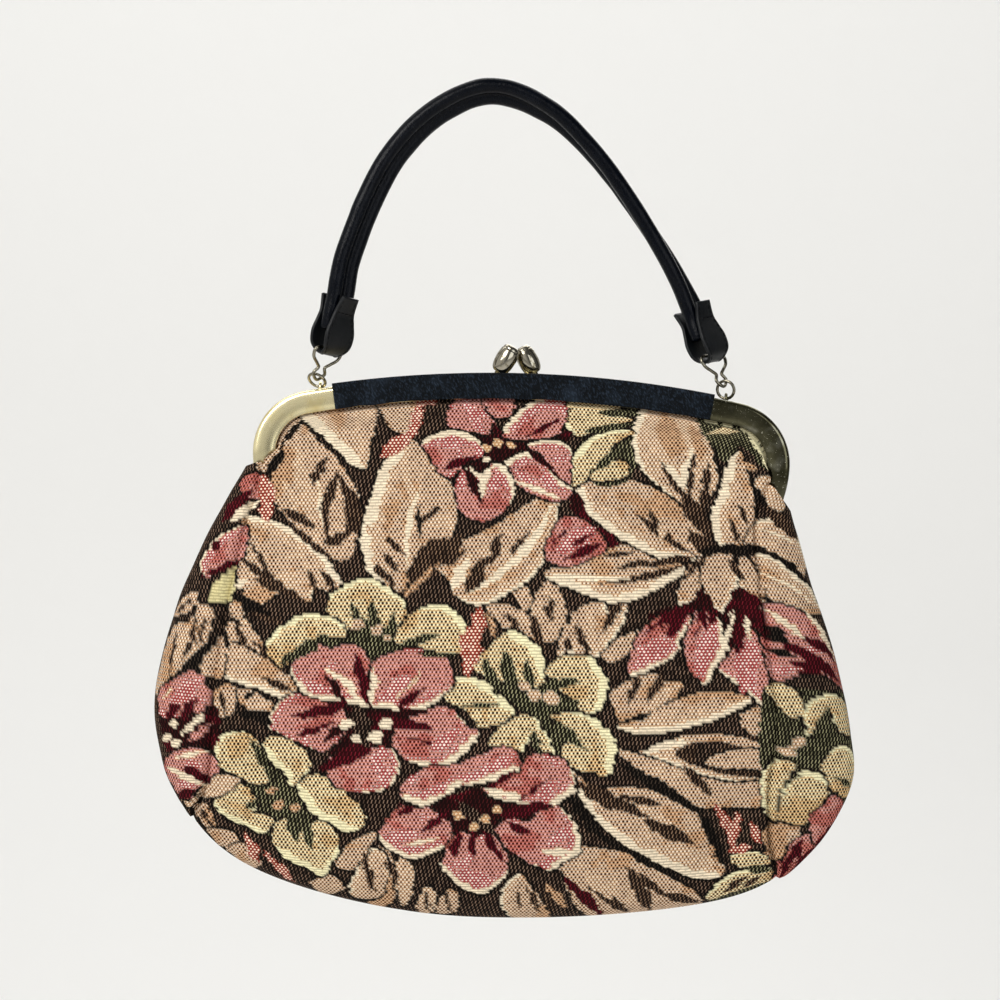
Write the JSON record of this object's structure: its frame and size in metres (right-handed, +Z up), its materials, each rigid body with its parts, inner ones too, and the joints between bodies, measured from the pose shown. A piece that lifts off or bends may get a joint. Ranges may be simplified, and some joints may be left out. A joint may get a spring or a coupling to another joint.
{
  "type": "tapestry frame handbag",
  "caption": "Closed tapestry handbag with side gussets on a hinged brass frame with a kissing clasp, hanging by a double rolled leather handle.",
  "frame": {"origin": "the hang point under the top of the handle's arch", "axes": "+Z up along the hanging bag, +X to the viewer's right, front of the bag towards -Y"},
  "size_m": [0.294, 0.0656, 0.353],
  "materials": {
    "tapestry": "woven floral tapestry in tan, pink, pale yellow and near-black",
    "frame_brass": "polished brass with speckled tarnish",
    "rail_leather": "navy-black pebbled leather",
    "clasp_metal": "polished pale gold plate",
    "wire_nickel": "worn nickel-plated wire",
    "tab_leather": "black satin leather",
    "handle_leather": "navy-black glossy smooth leather"
  },
  "bodies": {
    "root": {"front_panel": "tapestry", "back_panel": "tapestry", "gusset_left": "tapestry", "gusset_right": "tapestry", "frame_front": "frame_brass", "frame_back": "frame_brass", "hinge_rivet_left": "frame_brass", "hinge_rivet_right": "frame_brass", "rail_cover_front": "rail_leather", "rail_cover_back": "rail_leather", "clasp_bead_front": "clasp_metal", "clasp_bead_back": "clasp_metal", "ring_left": "wire_nickel", "ring_right": "wire_nickel", "handle_link_left": "wire_nickel", "handle_link_right": "wire_nickel", "handle_tab_left": "tab_leather", "handle_tab_right": "tab_leather", "handle": "handle_leather"}
  },
  "joints": []
}
